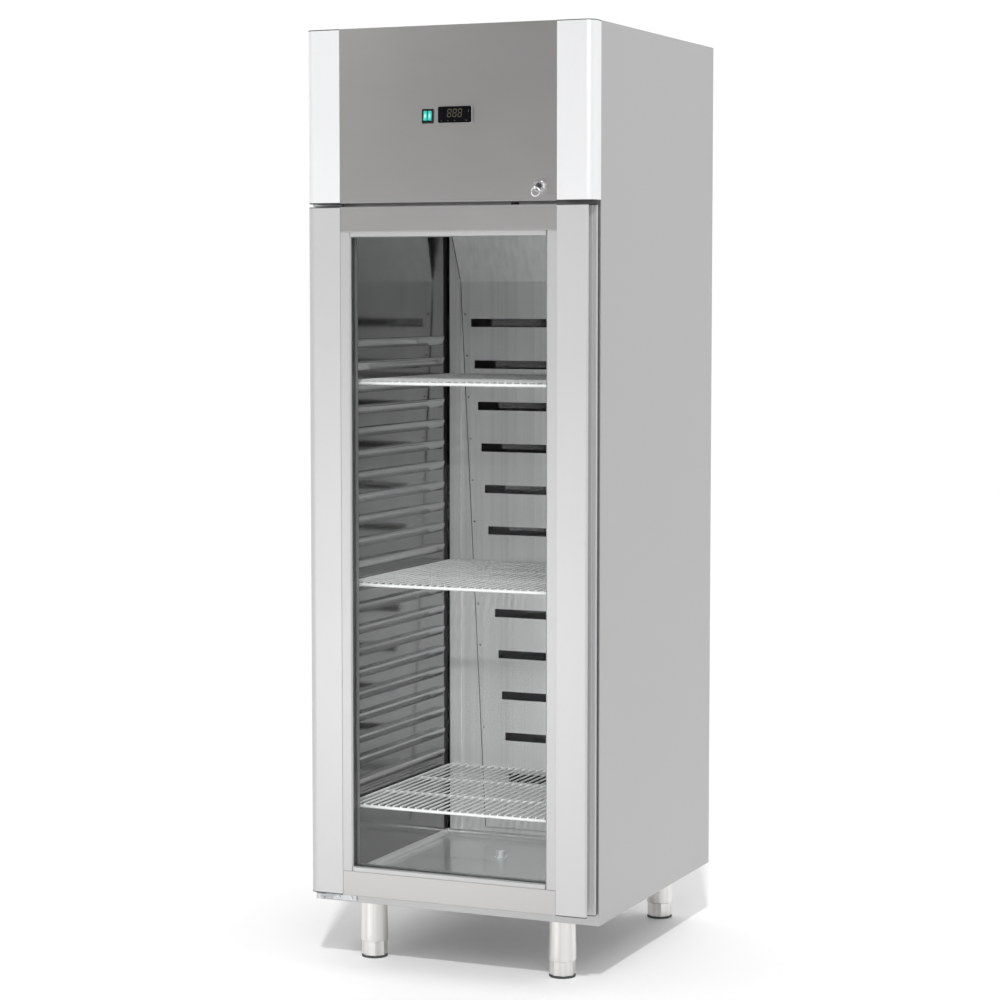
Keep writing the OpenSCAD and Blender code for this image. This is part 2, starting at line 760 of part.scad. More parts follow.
module service_panel() {
    z = [head_z + 0.5, overall_h - 0.2];
    color(steel) place() difference() {
        union() {
            slab([-panel_half, panel_half], [0, panel_t], z);
            slab([-panel_half, panel_half], [0, face_y - 2], [z[1] - panel_t, z[1]]);
            slab([-panel_half, panel_half], [0, 18], [z[0], z[0] + panel_t]);
            both_sides() slab([-panel_half, -panel_half + panel_t], [0, 18], z);
        }
        both_sides() rod_x([-panel_half - 1, -panel_half + 5], panel_pivot[0], panel_pivot[1],
                           panel_pivot_r + bore_gap);
        centred_slab(controller_x, controller_z, controller_body + [0.2, 0.2], [-1, 5]);
        centred_slab(switch_x, controls_z, switch_face - [2, 2], [-1, 5]);
        rod_y(lock_x, [-1, 5], lock_z, 10);
    }
}

// Controller housing with the sides of its bezel in front of the panel
module controller_case() {
    color([0.75, 0.76, 0.78]) place() {
        centred_plate(controller_x, controller_z, controller_face, 3, [-4.4, -0.01]);
        centred_slab(controller_x, controller_z, controller_body, [-0.1, 58]);
    }
}

// Dark cover over the whole front of the bezel
module controller_lens() {
    face = controller_face - [0.1, 0.1];
    color(black) place() centred_plate(controller_x, controller_z, face, 3, [-5.6, -4.42]);
}

module switch_frame() {
    color(black) place() difference() {
        union() {
            centred_plate(switch_x, controls_z, switch_face, 1.5, [-2.5, -0.01]);
            centred_slab(switch_x, controls_z, switch_face - [2.2, 2.2], [-0.1, 26]);
        }
        for (s = [-1, 1])
            slab([switch_x + s * rocker_x - 4.8, switch_x + s * rocker_x + 4.8], [-3, 12],
                 [controls_z - 11.6, controls_z + 11.6]);
        rod_x([switch_x - switch_face[0], switch_x + switch_face[0]], rocker_axle_y, controls_z, 1 + bore_gap);
    }
}

// Lit rocker on two short trunnions, drawn with its upper half pressed in
module rocker(side) {
    tilt = 8;
    color([0.1, 0.65, 0.5]) place()
        translate([switch_x + side * rocker_x, rocker_axle_y, controls_z]) {
            rotate([-tilt, 0, 0]) along_x([-4.4, 4.4]) polygon([
                [-7.6, 0], [-9.3, 10.1], [4, 9.8], [6, 0], [4, -9.8], [-9.3, -10.1]
            ]);
            rod_x([-rocker_x + 0.05, rocker_x - 0.05], 0, 0, 1);
        }
}

module rocker_left() { rocker(-1); }

module rocker_right() { rocker(1); }

// Lock barrel with its outer flange and clamping nut
module lock_body() {
    color(bright) place() difference() {
        union() {
            rod_y(lock_x, [-5, -0.01], lock_z, 12.5);
            translate([lock_x, -5, lock_z]) rotate([90, 0, 0]) cylinder(h = 4, r1 = 12.5, r2 = 10.2);
            rod_y(lock_x, [-5, 20], lock_z, 9.9);
            rod_y(lock_x, [panel_t + 0.01, 6], lock_z, 14);
        }
        rod_y(lock_x, [-10, 21], lock_z, 7 + bore_gap);
    }
}

// Turning cylinder with the locking cam; the cam lies level when the door is unlocked
module lock_plug() {
    color(bright) place() difference() {
        union() {
            rod_y(lock_x, [-9.6, 21.5], lock_z, 7);
            slab([lock_x - 46, lock_x + 8], [21.4, 24.4], [lock_z - 6, lock_z + 6]);
            rod_y(lock_x, [24.3, 28], lock_z, 5);
        }
        slab([lock_x - 1.1, lock_x + 1.1], [-10, 12], [lock_z - 4.1, lock_z + 4.1]);
    }
}

// Flat key in the cylinder
module key() {
    color(bright) place() difference() {
        union() {
            slab([lock_x - 1, lock_x + 1], [-16, 11], [lock_z - 4, lock_z + 4]);
            rod_x([lock_x - 1, lock_x + 1], -21, lock_z, 9);
        }
        rod_x([lock_x - 2, lock_x + 2], -25, lock_z - 3, 2.4);
    }
}

// Ring that hangs from the key
module key_ring() {
    ring_r = 9;
    color(bright) place() translate([lock_x, -25, lock_z - 3 - ring_r]) rotate([90, 0, 0])
        rotate_extrude() translate([ring_r, 0]) circle(1.3);
}

// ---------- door ----------

module door_stile_hinge() {
    color(bright) place() translate([-half_w, 0, 0]) along_z([door_low + cap_t, door_top - cap_t])
        hollow_profile(stile_w, door_t, corner_r, 10);
}

grip_edge = half_w - 4;              // outer edge of the rear flange of the grip
lip_edge = half_w - 13;              // outer edge of the front lip of the grip

// Outline of the grip profile: box, front lip, finger recess and rear flange
module grip_outline() {
    recess_x = lip_edge - grip_depth;
    difference() {
        union() {
            translate([stile_in, 0]) square([lip_edge - 4 - stile_in, door_t]);
            translate([lip_edge - 4, 4]) circle(4);
            translate([lip_edge - 5, 4]) square([5, door_t - 4]);
            translate([lip_edge - 1, door_t - 8]) square([grip_edge - lip_edge - 1, 8]);
            translate([grip_edge - 2, door_t - 8]) square([2, 8]);
        }
        translate([recess_x + 9, 17.5]) circle(9.5);
        translate([recess_x + 9, 8]) square([60, 19]);
    }
}

module door_stile_grip() {
    box_end = lip_edge - grip_depth - 3;
    color(bright) place() along_z([door_low + cap_t, door_top - cap_t]) difference() {
        grip_outline();
        translate([stile_in + profile_t, profile_t])
            square([box_end - stile_in - profile_t, door_t - 2 * profile_t]);
    }
}

// Folded steel rails above and below the glass; the upper one has the slot for the lock cam
module door_rails() {
    t = 1.5;
    color(steel) place() for (z = [[door_low, bead_low], [bead_top, door_top]]) difference() {
        slab([-stile_in + 0.1, stile_in - 0.1], [0.2, door_t], z);
        slab([-stile_in - 1, stile_in + 1], [0.2 + t, door_t - t], [z[0] + t, z[1] - t]);
        if (z[1] == door_top)
            slab([lock_x - 40, lock_x + 12], [18, 30], [door_top - 5, door_top + 1]);
    }
}

// Bevelled glazing beads around the glass, in front and behind
module door_beads() {
    a = [2, 8];
    b = [26.5, door_t - 0.5];
    color(steel) place() {
        both_sides() along_z([bead_low + 0.1, bead_top - 0.1]) {
            polygon([
                [-stile_in + 0.1, 0.8], [-glass_half - 3, 0.8], [-glass_half, 4], [-glass_half, a[1]],
                [-stile_in + 0.1, a[1]]
            ]);
        }
        both_sides() slab([-stile_in + 0.1, -glass_half], b, [bead_low + 0.1, bead_top - 0.1]);
        for (s = [[bead_low + 0.1, bead_low + bead_h, 1], [bead_top - 0.1, bead_top - bead_h, -1]]) {
            along_x([-glass_half + 0.1, glass_half - 0.1]) polygon([
                [0.8, s[0]], [0.8, s[1] - 2 * s[2]], [4, s[1]], [a[1], s[1]], [a[1], s[0]]
            ]);
            slab([-glass_half + 0.1, glass_half - 0.1], b, [min(s[0], s[1]), max(s[0], s[1])]);
        }
    }
}

// Two panes of toughened glass
module glass_panes() {
    color([0.8, 0.9, 0.88, 0.3]) place() for (y = [8.2, 22.2])
        slab([-stile_in + 3, stile_in - 3], [y, y + 4], [bead_low + 2, bead_top - 2]);
}

// Frame that keeps the two panes apart
module glass_spacer() {
    e = 19;
    color([0.35, 0.37, 0.36]) place() difference() {
        slab([-stile_in + 4, stile_in - 4], [12.3, 22.1], [bead_low + 3, bead_top - 3]);
        slab([-stile_in + 4 + e, stile_in - 4 - e], [12, 23],
             [bead_low + 3 + 8, bead_top - 3 - 8]);
    }
}

// Soft seal between the door and the body
module door_gasket() {
    x = half_w - 21;
    w = 18;
    z = [door_low + 4, door_top - 6];
    color([0.3, 0.31, 0.31]) place() difference() {
        union() {
            slab([-x, x], [door_t + 0.1, door_t + 3], z);
            slab([-x + 2, x - 2], [door_t + 2.9, face_y - 0.3], [z[0] + 2, z[1] - 2]);
        }
        slab([-x + w, x - w], [door_t - 1, face_y + 1], [z[0] + w, z[1] - w]);
    }
}

module door_end_caps() {
    color(dark) place() for (z = [door_low, door_top - cap_t]) {
        difference() {
            translate([-half_w, 0, 0]) along_z([z, z + cap_t]) profile_outline(stile_w, door_t, corner_r, 10);
            rod_z(pivot[0], pivot[1], [z - 1, z + cap_t + 1], 8.2);
        }
        along_z([z, z + cap_t]) grip_outline();
    }
}

// Plastic bushes in the ends of the hinge profile
module hinge_bushes() {
    color(white) place() difference() {
        union() {
            rod_z(pivot[0], pivot[1], [door_low + cap_t, door_low + 32], 12);
            rod_z(pivot[0], pivot[1], [leg_h + 21.3, door_low + cap_t + 0.1], 8);
            rod_z(pivot[0], pivot[1], [door_top - 32, door_top - cap_t], 12);
            rod_z(pivot[0], pivot[1], [door_top - cap_t - 0.1, door_top], 8);
        }
        rod_z(pivot[0], pivot[1], [leg_h, head_z], pivot_r + bore_gap);
    }
}

// ---------- shelves ----------

// Wire shelf on the guide with the given number
module wire_shelf(i) {
    z = guide_z(shelf_guides[i]);
    x = cabin_half - 6;
    y = [face_y + 20, false_back_y - 8];
    frame_r = 3.5;
    bend = 12;
    bar_z = z + frame_r + 0.1;
    wires = floor((x - 12) / wire_pitch);
    color(white) place() {
        for (wy = y) rod_x([-x + bend, x - bend], wy + (wy == y[0] ? frame_r : -frame_r), bar_z, frame_r);
        both_sides() rod_y(-x + frame_r, [y[0] + bend, y[1] - bend], bar_z, frame_r);
        for (c = [[-1, 0, 180], [1, 0, 270], [1, 1, 0], [-1, 1, 90]])
            translate([c[0] * (x - bend), y[c[1]] + (c[1] == 0 ? bend : -bend), bar_z]) rotate(c[2])
                rotate_extrude(angle = 90) translate([bend - frame_r, 0]) circle(frame_r);
        for (f = [1, 2])
            rod_x([-x + frame_r, x - frame_r], y[0] + f * (y[1] - y[0]) / 3, bar_z, frame_r - 0.3, $fn = 12);
        for (k = [-wires : wires])
            rod_y(k * wire_pitch, [y[0] + 1.6, y[1] - 1.6], bar_z + frame_r + 1.1, 2, $fn = 12);
    }
}

module shelf_low() { wire_shelf(0); }

module shelf_middle() { wire_shelf(1); }

module shelf_high() { wire_shelf(2); }

side_panel_left();
side_panel_right();
back_panel();
rear_grille();
roof_panel();
base_panel();
front_rails();
foam_insulation();
liner_walls();
liner_ceiling();
liner_floor();
tray_guides();
false_back();
duct_panel();
head_profiles();
head_end_caps();
deck_panel();
air_box();
fan_motor();
fan_wheel();
heater_element();
humidifier_tank();
steam_pipe();
water_valve();
electric_box();
cable_gland();
lamp();
hinge_brackets();
hinge_pins();
leg_sleeves();
drain_pipe();
door_switch();
screws();
service_panel();
controller_case();
controller_lens();
switch_frame();
rocker_left();
rocker_right();
lock_body();
lock_plug();
key();
key_ring();
door_stile_hinge();
door_stile_grip();
door_rails();
door_beads();
glass_panes();
glass_spacer();
door_gasket();
door_end_caps();
hinge_bushes();
shelf_low();
shelf_middle();
shelf_high();
drain_plug();
foot_front_left();
foot_front_right();
foot_rear_left();
foot_rear_right();
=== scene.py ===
"""Looks of an upright proofing cabinet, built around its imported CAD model."""

import json
import math

import bmesh
import bpy
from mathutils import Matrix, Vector


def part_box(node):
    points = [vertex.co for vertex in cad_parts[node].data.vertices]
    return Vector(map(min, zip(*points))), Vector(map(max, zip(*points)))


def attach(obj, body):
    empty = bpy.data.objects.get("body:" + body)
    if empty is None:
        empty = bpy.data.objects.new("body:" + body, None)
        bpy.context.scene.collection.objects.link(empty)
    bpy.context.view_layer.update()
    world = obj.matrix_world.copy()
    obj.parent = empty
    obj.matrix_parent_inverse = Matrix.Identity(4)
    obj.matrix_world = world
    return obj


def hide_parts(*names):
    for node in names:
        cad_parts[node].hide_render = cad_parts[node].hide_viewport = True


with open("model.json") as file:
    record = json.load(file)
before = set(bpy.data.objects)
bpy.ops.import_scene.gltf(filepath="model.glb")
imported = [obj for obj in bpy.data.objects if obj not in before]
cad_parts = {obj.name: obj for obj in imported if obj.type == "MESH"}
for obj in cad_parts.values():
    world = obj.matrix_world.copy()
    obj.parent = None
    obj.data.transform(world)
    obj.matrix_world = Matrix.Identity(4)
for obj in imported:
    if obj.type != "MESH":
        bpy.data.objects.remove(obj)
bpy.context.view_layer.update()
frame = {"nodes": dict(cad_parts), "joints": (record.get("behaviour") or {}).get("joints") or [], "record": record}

MM = 0.001


# ---------- camera, floor and light ----------


def make_camera():
    """Long lens to the right of the door, a little below the top of it, looking slightly down."""
    yaw, pitch = math.radians(23.56), math.radians(4.44)
    data = bpy.data.cameras.new("camera")
    data.lens = 97.3
    data.sensor_width = 36
    camera = bpy.data.objects.new("camera", data)
    camera.location = (2.370, -5.518, 1.460)
    camera.rotation_euler = (math.pi / 2 - pitch, 0, yaw)
    bpy.context.scene.collection.objects.link(camera)
    bpy.context.scene.camera = camera


def make_softbox(name, place, aim, size, watts):
    """Square area light at a place, turned towards a point."""
    data = bpy.data.lights.new(name, "AREA")
    data.size = size
    data.energy = watts
    lamp = bpy.data.objects.new(name, data)
    lamp.location = place
    lamp.rotation_euler = (Vector(aim) - Vector(place)).to_track_quat("-Z", "Y").to_euler()
    lamp.visible_camera = False
    bpy.context.scene.collection.objects.link(lamp)


def make_overhead(strength, spread, lean, turn):
    """Distant light from above and in front, whose shadow falls under and behind the cabinet; in degrees."""
    data = bpy.data.lights.new("overhead", "SUN")
    data.energy = strength
    data.angle = math.radians(spread)
    lamp = bpy.data.objects.new("overhead", data)
    lamp.location = (0, 0, 5)
    lamp.rotation_euler = (math.radians(lean), 0, math.radians(turn))
    bpy.context.scene.collection.objects.link(lamp)


def make_sky(front, back):
    """Plain white studio air, darker in front of the door, so that the steel has something to mirror."""
    world = bpy.data.worlds.new("studio")
    world.use_nodes = True
    nodes, links = world.node_tree.nodes, world.node_tree.links
    place = nodes.new("ShaderNodeTexCoord")
    parts = nodes.new("ShaderNodeSeparateXYZ")
    fade = nodes.new("ShaderNodeMapRange")
    fade.interpolation_type = "SMOOTHSTEP"
    fade.inputs["From Min"].default_value = -0.85
    fade.inputs["From Max"].default_value = 0.35
    fade.inputs["To Min"].default_value = front
    fade.inputs["To Max"].default_value = back
    links.new(place.outputs["Generated"], parts.inputs[0])
    links.new(parts.outputs["Y"], fade.inputs["Value"])
    background = nodes["Background"]
    background.inputs["Strength"].default_value = 1.0
    links.new(fade.outputs["Result"], background.inputs["Color"])
    bpy.context.scene.world = world


def make_floor():
    """Plain pale floor."""
    mesh = bpy.data.meshes.new("floor")
    half = 14
    corners = [(-half, -half, 0), (half, -half, 0), (half, half, 0), (-half, half, 0)]
    mesh.from_pydata(corners, [], [(0, 1, 2, 3)])
    floor = bpy.data.objects.new("floor", mesh)
    bpy.context.scene.collection.objects.link(floor)
    paint = Surface("floor_paint", (0.93, 0.93, 0.93), roughness=0.7)
    paint.shader.inputs["Specular IOR Level"].default_value = 0.2
    floor.data.materials.append(paint.material)


# ---------- materials ----------


class Surface:
    """One procedural material: a Principled shader and the patterns that drive it."""

    def __init__(self, name, colour, metallic=0.0, roughness=0.5, **constants):
        self.colour = colour
        self.material = bpy.data.materials.new(name)
        self.material.use_nodes = True
        self.tree = self.material.node_tree
        self.shader = self.tree.nodes["Principled BSDF"]
        self.set("Base Color", (*colour, 1))
        self.set("Metallic", metallic)
        self.set("Roughness", roughness)
        for socket, value in constants.items():
            self.set(socket.replace("_", " ").title().replace("Ior", "IOR"), value)

    def set(self, socket, value):
        self.shader.inputs[socket].default_value = value

    def node(self, kind, **settings):
        made = self.tree.nodes.new(kind)
        for key, value in settings.items():
            setattr(made, key, value)
        return made

    def link(self, output, socket):
        self.tree.links.new(output, socket)

    def drive(self, output, socket):
        self.link(output, self.shader.inputs[socket])

    def noise(self, scale, stretch=(1, 1, 1), detail=3.0):
        """Cloudy pattern; a low stretch along an axis draws it out into streaks along that axis."""
        place = self.node("ShaderNodeTexCoord")
        mapping = self.node("ShaderNodeMapping")
        mapping.inputs["Scale"].default_value = stretch
        texture = self.node("ShaderNodeTexNoise")
        texture.inputs["Scale"].default_value = scale
        texture.inputs["Detail"].default_value = detail
        self.link(place.outputs["Object"], mapping.inputs["Vector"])
        self.link(mapping.outputs["Vector"], texture.inputs["Vector"])
        return texture.outputs["Fac"]

    def middle(self):
        """1 in the middle of the piece's front, falling to 0 at its outer edges."""
        place = self.node("ShaderNodeTexCoord")
        mapping = self.node("ShaderNodeMapping")
        mapping.inputs["Location"].default_value = (-1, 0, -1)
        mapping.inputs["Scale"].default_value = (2, 0, 2)
        gradient = self.node("ShaderNodeTexGradient", gradient_type="SPHERICAL")
        self.link(place.outputs["Generated"], mapping.inputs["Vector"])
        self.link(mapping.outputs["Vector"], gradient.inputs["Vector"])
        return gradient.outputs["Fac"]

    def edges(self, radius):
        """1 along the edges of the piece, 0 on its flats."""
        bevel = self.node("ShaderNodeBevel", samples=4)
        bevel.inputs["Radius"].default_value = radius
        geometry = self.node("ShaderNodeNewGeometry")
        dot = self.node("ShaderNodeVectorMath", operation="DOT_PRODUCT")
        self.link(bevel.outputs["Normal"], dot.inputs[0])
        self.link(geometry.outputs["Normal"], dot.inputs[1])
        return self.span(dot.outputs["Value"], 1.0, 0.0, 0.80, 0.995)

    def span(self, value, low, high, start=0.3, end=0.7):
        """Value from start to end becomes low to high."""
        change = self.node("ShaderNodeMapRange")
        change.inputs["From Min"].default_value = start
        change.inputs["From Max"].default_value = end
        change.inputs["To Min"].default_value = low
        change.inputs["To Max"].default_value = high
        self.link(value, change.inputs["Value"])
        return change.outputs["Result"]

    def sum(self, first, second):
        add = self.node("ShaderNodeMath", operation="ADD")
        self.link(first, add.inputs[0])
        self.link(second, add.inputs[1])
        return add.outputs[0]

    def shade(self, factor, dark, light):
        """Base colour between the surface's own colour times dark and times light."""
        mix = self.node("ShaderNodeMix", data_type="RGBA")
        mix.inputs[6].default_value = (*(c * dark for c in self.colour), 1)
        mix.inputs[7].default_value = (*(min(1, c * light) for c in self.colour), 1)
        self.link(factor, mix.inputs[0])
        self.drive(mix.outputs[2], "Base Color")

    def bump(self, height, distance, rounding=0.0):
        """Relief from a pattern; a rounding softens the sharp edges under it."""
        bump = self.node("ShaderNodeBump")
        bump.inputs["Distance"].default_value = distance
        self.link(height, bump.inputs["Height"])
        if rounding:
            bevel = self.node("ShaderNodeBevel", samples=4)
            bevel.inputs["Radius"].default_value = rounding
            self.link(bevel.outputs["Normal"], bump.inputs["Normal"])
        self.drive(bump.outputs["Normal"], "Normal")


ALONG_X = (0.005, 1, 1)
ALONG_Z = (1, 1, 0.005)
UNDRAWN = (1, 1, 1)


def brushed_metal(
    name, colour, roughness, grain, metallic=1.0, spread=0.03, wear=0.0012, rounding=0.0012, bands_and_sheen=0.0
):
    """Metal with a drawn grain, soft smudges, broader streaks of tone that partly serve as painted reflection
    streaks, and brighter, slightly rounded edges.
    """
    metal = Surface(name, colour, metallic=metallic, roughness=roughness)
    streaks = metal.noise(1700, grain, detail=2)
    smudges = metal.noise(2.2, detail=2)
    edge = metal.edges(wear)
    tone = metal.sum(metal.span(streaks, 0.38, 0.58), metal.span(smudges, -0.10, 0.10))
    # Broad streaks along the grain: partly the sheet's own tone, partly painted reflection streaks.
    if bands_and_sheen:
        tone = metal.sum(tone, metal.span(metal.noise(90, grain, detail=2), -bands_and_sheen, bands_and_sheen))
    metal.shade(metal.sum(tone, metal.span(edge, 0.0, 0.25, 0, 1)), 0.94, 1.07)
    grain_roughness = metal.span(streaks, roughness - spread, roughness + spread)
    rough = metal.sum(grain_roughness, metal.span(smudges, -0.02, 0.03))
    metal.drive(metal.sum(rough, metal.span(edge, 0.0, -0.05, 0, 1)), "Roughness")
    metal.bump(streaks, 0.0000008, rounding=rounding)
    return metal.material


def moulded_plastic(name, colour, roughness, grain=900, relief=0.00003, wear=0.0006):
    """Plastic with a fine moulded grain, uneven gloss and paler rubbed edges."""
    plastic = Surface(name, colour, roughness=roughness)
    texture = plastic.noise(grain, detail=2)
    clouds = plastic.noise(22, detail=3)
    edge = plastic.edges(wear)
    plastic.shade(plastic.sum(plastic.span(clouds, 0.35, 0.60), plastic.span(edge, 0, 0.4, 0, 1)), 0.85, 1.25)
    rough = plastic.span(clouds, roughness - 0.04, roughness + 0.06)
    plastic.drive(plastic.sum(rough, plastic.span(edge, 0, -0.08, 0, 1)), "Roughness")
    plastic.bump(texture, relief, rounding=wear)
    return plastic.material


def polished_chrome(name, colour):
    """Plated metal with faint wipe marks."""
    chrome = Surface(name, colour, metallic=1.0, roughness=0.08)
    wipes = chrome.noise(60, (1, 1, 0.2), detail=4)
    chrome.shade(chrome.noise(25), 0.94, 1.04)
    chrome.drive(chrome.span(wipes, 0.05, 0.16), "Roughness")
    return chrome.material


def clear_glass(name):
    """Thin clear pane with a faint green tint and sheen, which light passes straight through."""
    glass = Surface(name, (0.8, 0.9, 0.87))
    nodes = glass.tree.nodes
    clear = glass.node("ShaderNodeBsdfTransparent")
    clear.inputs["Color"].default_value = (0.997, 1.0, 0.999, 1)
    mirror = glass.node("ShaderNodeBsdfGlossy")
    mirror.inputs["Roughness"].default_value = 0.02
    mirror.inputs["Color"].default_value = (0.95, 0.98, 0.97, 1)
    sheen = glass.node("ShaderNodeFresnel")
    sheen.inputs["IOR"].default_value = 1.08
    mix = glass.node("ShaderNodeMixShader")
    glass.link(sheen.outputs[0], mix.inputs[0])
    glass.link(clear.outputs[0], mix.inputs[1])
    glass.link(mirror.outputs[0], mix.inputs[2])
    glass.link(mix.outputs[0], nodes["Material Output"].inputs["Surface"])
    nodes.remove(glass.shader)
    return glass.material


def soft_rubber(name, colour):
    """Matt rubber with a little dust."""
    rubber = Surface(name, colour, roughness=0.75)
    dust = rubber.noise(35, detail=4)
    rubber.shade(rubber.span(dust, 0.2, 0.8), 0.8, 1.5)
    rubber.drive(rubber.span(dust, 0.62, 0.85), "Roughness")
    rubber.bump(rubber.noise(700, detail=2), 0.00005)
    return rubber.material


def insulation_foam(name):
    """Yellowish foam with open cells at its cut faces."""
    foam = Surface(name, (0.86, 0.80, 0.55), roughness=0.9)
    cells = foam.noise(260, detail=4)
    foam.shade(foam.span(cells, 0, 1), 0.82, 1.08)
    foam.bump(cells, 0.0006)
    return foam.material


def gloss_panel(name, colour):
    """Smooth dark cover with faint dust."""
    cover = Surface(name, colour, roughness=0.08)
    cover.set("Specular IOR Level", 0.06)
    dust = cover.noise(90, detail=5)
    cover.shade(cover.span(dust, 0, 1), 0.7, 1.6)
    cover.drive(cover.span(dust, 0.05, 0.14), "Roughness")
    return cover.material


def lit_rocker_painted_highlight(name):
    """Tinted translucent rocker whose lamp glows through it, with a painted white highlight over its middle."""
    rocker = Surface(name, (0.03, 0.36, 0.31), roughness=0.18)
    middle = rocker.middle()
    # Emission runs from green at the rim to near white in the middle: lamp glow, topped by a painted highlight.
    glow_and_highlight = rocker.node("ShaderNodeMix", data_type="RGBA")
    glow_and_highlight.inputs[6].default_value = (0.06, 0.62, 0.52, 1)
    glow_and_highlight.inputs[7].default_value = (0.75, 1.0, 0.95, 1)
    rocker.link(rocker.span(middle, 0, 1, 0.45, 0.80), glow_and_highlight.inputs[0])
    rocker.drive(glow_and_highlight.outputs[2], "Emission Color")
    rocker.drive(rocker.span(middle, 0.15, 0.95, 0, 1), "Emission Strength")
    clouds = rocker.noise(120, detail=2)
    rocker.shade(clouds, 0.8, 1.2)
    rocker.drive(rocker.span(clouds, 0.12, 0.22), "Roughness")
    return rocker.material


def display_segment(name):
    """Unlit segment behind a smoked cover, given a faint olive painted glow so that it shows."""
    segment = Surface(name, (0.035, 0.034, 0.022), roughness=0.45)
    # Painted glow: the unlit segment emits a faint olive light.
    segment.set("Emission Color", (0.30, 0.28, 0.14, 1))
    segment.set("Emission Strength", 0.06)
    grain = segment.noise(900, detail=3)
    segment.shade(segment.span(grain, 0, 1), 0.85, 1.2)
    segment.drive(segment.span(grain, 0.38, 0.52), "Roughness")
    return segment.material


def coated_wire(name, colour):
    """Smooth plastic coat on the shelf wires, a little uneven where it was dipped."""
    coat = Surface(name, colour, roughness=0.32, Coat_Weight=0.2)
    dips = coat.noise(45, detail=3)
    coat.shade(coat.span(dips, 0, 1), 0.93, 1.05)
    coat.drive(coat.span(dips, 0.26, 0.40), "Roughness")
    coat.bump(coat.noise(400, detail=2), 0.00004)
    return coat.material


def make_materials():
    """The material of each slot in the record."""
    return {
        "outer_steel": brushed_metal("outer_steel", (0.45, 0.45, 0.45), 0.38, ALONG_Z),
        "liner_steel": brushed_metal("liner_steel", (0.34, 0.34, 0.34), 0.10, ALONG_Z),
        "floor_steel": brushed_metal("floor_steel", (0.76, 0.76, 0.76), 0.17, ALONG_X, metallic=0.4),
        "duct_steel": brushed_metal("duct_steel", (0.94, 0.94, 0.94), 0.33, ALONG_Z, metallic=0.3, bands_and_sheen=0.6),
        "panel_steel": brushed_metal("panel_steel", (0.44, 0.435, 0.43), 0.33, ALONG_X),
        "foam": insulation_foam("foam"),
        "head_aluminium": brushed_metal("head_aluminium", (0.82, 0.825, 0.83), 0.45, ALONG_Z, metallic=0.5),
        "door_aluminium": brushed_metal("door_aluminium", (0.55, 0.55, 0.555), 0.45, ALONG_Z, metallic=0.5),
        # The plug's dark chrome is painted shade for its recessed face and keyway.
        "lock_core": polished_chrome("lock_core", (0.22, 0.22, 0.22)),
        "dark_cap": moulded_plastic("dark_cap", (0.06, 0.065, 0.065), 0.5),
        "galvanised_sheet": brushed_metal("galvanised_sheet", (0.60, 0.61, 0.62), 0.42, UNDRAWN),
        "fan_alloy": brushed_metal("fan_alloy", (0.70, 0.71, 0.72), 0.45, UNDRAWN),
        "motor_paint": moulded_plastic("motor_paint", (0.05, 0.055, 0.06), 0.5),
        "heater_sheath": brushed_metal("heater_sheath", (0.30, 0.25, 0.22), 0.55, UNDRAWN),
        "white_plastic": moulded_plastic("white_plastic", (0.90, 0.93, 0.96), 0.38),
        "steam_steel": brushed_metal("steam_steel", (0.70, 0.70, 0.70), 0.28, ALONG_Z),
        "valve_plastic": moulded_plastic("valve_plastic", (0.03, 0.07, 0.28), 0.4),
        "lamp_cover": moulded_plastic("lamp_cover", (0.90, 0.92, 0.92), 0.35),
        "bright_fixings": polished_chrome("bright_fixings", (0.72, 0.72, 0.72)),
        "leg_steel": brushed_metal("leg_steel", (0.78, 0.77, 0.75), 0.34, ALONG_Z, spread=0.06, bands_and_sheen=1.0),
        "controller_rim": moulded_plastic("controller_rim", (0.42, 0.43, 0.45), 0.3),
        "display_black": gloss_panel("display_black", (0.004, 0.004, 0.005)),
        "switch_black": moulded_plastic("switch_black", (0.008, 0.008, 0.008), 0.25),
        "rocker_green": lit_rocker_painted_highlight("rocker_green"),
        "chrome": polished_chrome("chrome", (0.88, 0.88, 0.89)),
        "door_glass": clear_glass("door_glass"),
        "glazing_spacer": brushed_metal("glazing_spacer", (0.20, 0.205, 0.205), 0.4, ALONG_Z),
        "seal_rubber": soft_rubber("seal_rubber", (0.05, 0.055, 0.055)),
        "shelf_coating": coated_wire("shelf_coating", (1.0, 1.0, 1.0)),
    }


def make_special_finishes():
    """Nodes whose sheet is worked differently from the rest of their slot."""
    return {
        "door_rails": brushed_metal("rail_steel", (0.47, 0.465, 0.46), 0.33, ALONG_X, rounding=0.003),
        "tray_guides": brushed_metal("guide_steel", (0.56, 0.56, 0.56), 0.14, ALONG_X, metallic=0.9),
        "door_beads": brushed_metal("bead_steel", (0.54, 0.54, 0.54), 0.5, ALONG_Z),
    }


def dress_cad_nodes(materials, special):
    """Gives each CAD node the material of its slot, or its own finish."""
    for entry in frame["record"]["subparts"]:
        node = entry["node"]
        mesh = frame["nodes"][node].data
        mesh.materials.clear()
        mesh.materials.append(special.get(node, materials[entry["material_slot"]]))


# ---------- mesh helpers ----------


def new_piece(name, mesh, material, body):
    """Links a finished mesh in the row frame and lets it ride on its body."""
    mesh.materials.append(material)
    piece = bpy.data.objects.new(name, mesh)
    bpy.context.scene.collection.objects.link(piece)
    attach(piece, body)
    return piece


